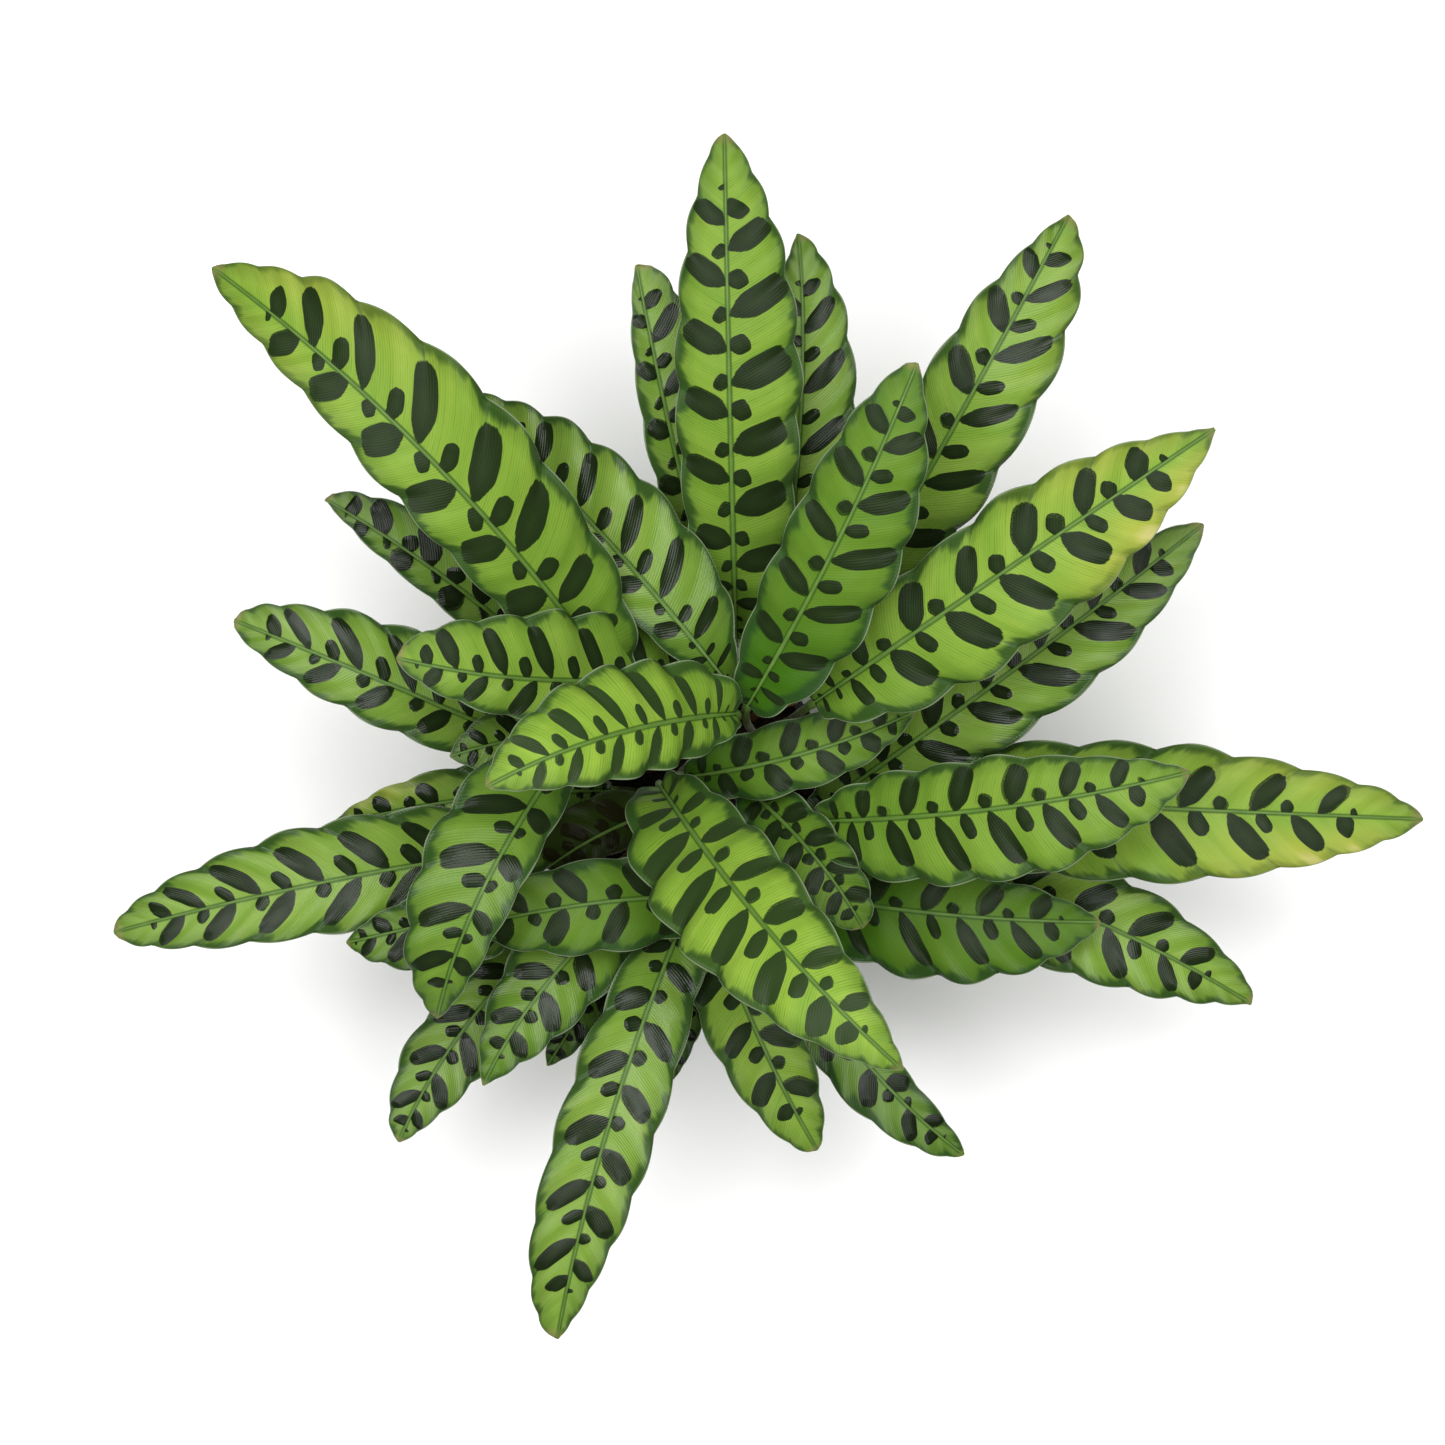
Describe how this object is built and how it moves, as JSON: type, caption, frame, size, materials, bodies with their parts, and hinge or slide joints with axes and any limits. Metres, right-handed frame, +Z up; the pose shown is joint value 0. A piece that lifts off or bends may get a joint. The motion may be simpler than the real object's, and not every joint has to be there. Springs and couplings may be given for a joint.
{
  "type": "potted rattlesnake plant",
  "caption": "Clump of long, narrow, wavy-edged spotted leaves on slender stalks, spreading wide from a small round plastic nursery pot of soil.",
  "frame": {"origin": "centre of the flat underside of the pot", "axes": "+Z up, out of the pot's mouth; +X to the right and +Y away from a viewer who stands in front"},
  "size_m": [0.5624, 0.5074, 0.3216],
  "materials": {
    "leaf": "thin living leaf, satin, bright yellow-green with dark green spots above and dull purple beneath",
    "dry": "dry papery leaf sheath, brown, slightly translucent",
    "pot": "moulded black polypropylene, matt with a faint sheen",
    "soil": "damp dark peat with bark crumbs and white perlite"
  },
  "bodies": {
    "root": {"leaf_01": "leaf", "leaf_02": "leaf", "leaf_03": "leaf", "leaf_04": "leaf", "leaf_05": "leaf", "leaf_06": "leaf", "leaf_07": "leaf", "leaf_08": "leaf", "leaf_09": "leaf", "leaf_10": "leaf", "leaf_11": "leaf", "leaf_12": "leaf", "leaf_13": "leaf", "leaf_14": "leaf", "leaf_15": "leaf", "leaf_16": "leaf", "leaf_17": "leaf", "leaf_18": "leaf", "leaf_19": "leaf", "leaf_20": "leaf", "leaf_21": "leaf", "leaf_22": "leaf", "leaf_23": "leaf", "leaf_24": "leaf", "leaf_25": "leaf", "leaf_26": "leaf", "leaf_27": "leaf", "leaf_28": "leaf", "leaf_29": "leaf", "leaf_30": "leaf", "leaf_31": "leaf", "leaf_32": "leaf", "leaf_33": "leaf", "leaf_34": "leaf", "dry_sheath_1": "dry", "dry_sheath_2": "dry", "pot": "pot", "soil": "soil"}
  },
  "joints": []
}
